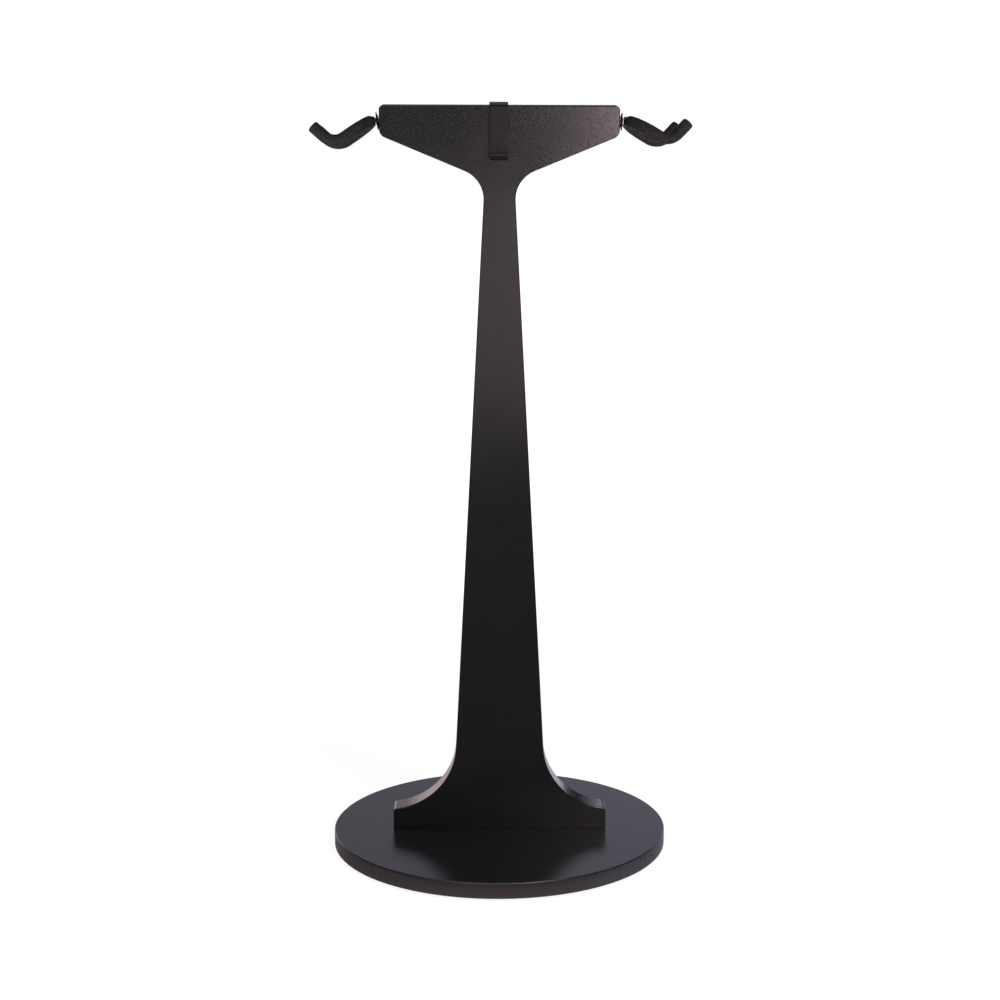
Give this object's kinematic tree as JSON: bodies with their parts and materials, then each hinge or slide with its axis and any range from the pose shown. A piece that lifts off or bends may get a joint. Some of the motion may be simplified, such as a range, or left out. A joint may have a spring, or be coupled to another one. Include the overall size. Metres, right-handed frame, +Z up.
{
  "type": "double hanging guitar stand",
  "caption": "Free-standing flat board stand on a round base, with a swivelling foam-sleeved yoke at each end of its head to hang a guitar by the neck, and a sliding strip hook between them",
  "frame": {"origin": "on the floor under the middle of the round base", "axes": "+Z up, front faces -Y, +X to the right of someone who faces the front"},
  "size_m": [0.5033, 0.46, 1.0217],
  "materials": {
    "disc_paint": "MDF with satin black paint",
    "board_paint": "MDF with satin black paint, faint orange peel",
    "foot_rubber": "matt black rubber",
    "bolt_steel": "zinc plated steel",
    "insert_brass": "turned brass",
    "beech": "plain beech, unfinished",
    "fitting_steel": "zinc plated steel",
    "washer_black": "black oxide steel",
    "rod_black": "black powder coat",
    "foam": "charcoal closed-cell foam",
    "hook_black": "satin black powder coat",
    "lining_rubber": "thin matt black lining"
  },
  "bodies": {
    "stand": {"base_disc": "disc_paint", "rubber_foot_1": "foot_rubber", "rubber_foot_2": "foot_rubber", "rubber_foot_3": "foot_rubber", "rubber_foot_4": "foot_rubber", "base_bolt_1": "bolt_steel", "base_bolt_2": "bolt_steel", "base_bolt_3": "bolt_steel", "base_insert_1": "insert_brass", "base_insert_2": "insert_brass", "base_insert_3": "insert_brass", "base_dowel_1": "beech", "base_dowel_2": "beech", "upright_board": "board_paint", "left_yoke_insert": "insert_brass", "right_yoke_insert": "insert_brass"},
    "left_yoke": {"left_yoke_stud": "fitting_steel", "left_yoke_locknut": "fitting_steel", "left_yoke_washer": "washer_black", "left_yoke_boss": "rod_black", "left_yoke_rod": "rod_black", "left_yoke_sleeve_front": "foam", "left_yoke_sleeve_rear": "foam"},
    "right_yoke": {"right_yoke_stud": "fitting_steel", "right_yoke_locknut": "fitting_steel", "right_yoke_washer": "washer_black", "right_yoke_boss": "rod_black", "right_yoke_rod": "rod_black", "right_yoke_sleeve_front": "foam", "right_yoke_sleeve_rear": "foam"},
    "hook": {"accessory_hook": "hook_black", "hook_lining": "lining_rubber"}
  },
  "joints": [
    {"name": "left_yoke_swivel", "type": "hinge", "parent": "stand", "child": "left_yoke", "pos_m": [-0.158, 0, 0.997], "axis": [0.9928, 0, 0.1201], "range_deg": [-90, 90]},
    {"name": "right_yoke_swivel", "type": "hinge", "parent": "stand", "child": "right_yoke", "pos_m": [0.158, 0, 0.997], "axis": [0.9993, 0, -0.0384], "range_deg": [-90, 90]},
    {"name": "hook_slide", "type": "slide", "parent": "stand", "child": "hook", "axis": [1, 0, 0], "range_m": [-0.135, 0.135]}
  ]
}
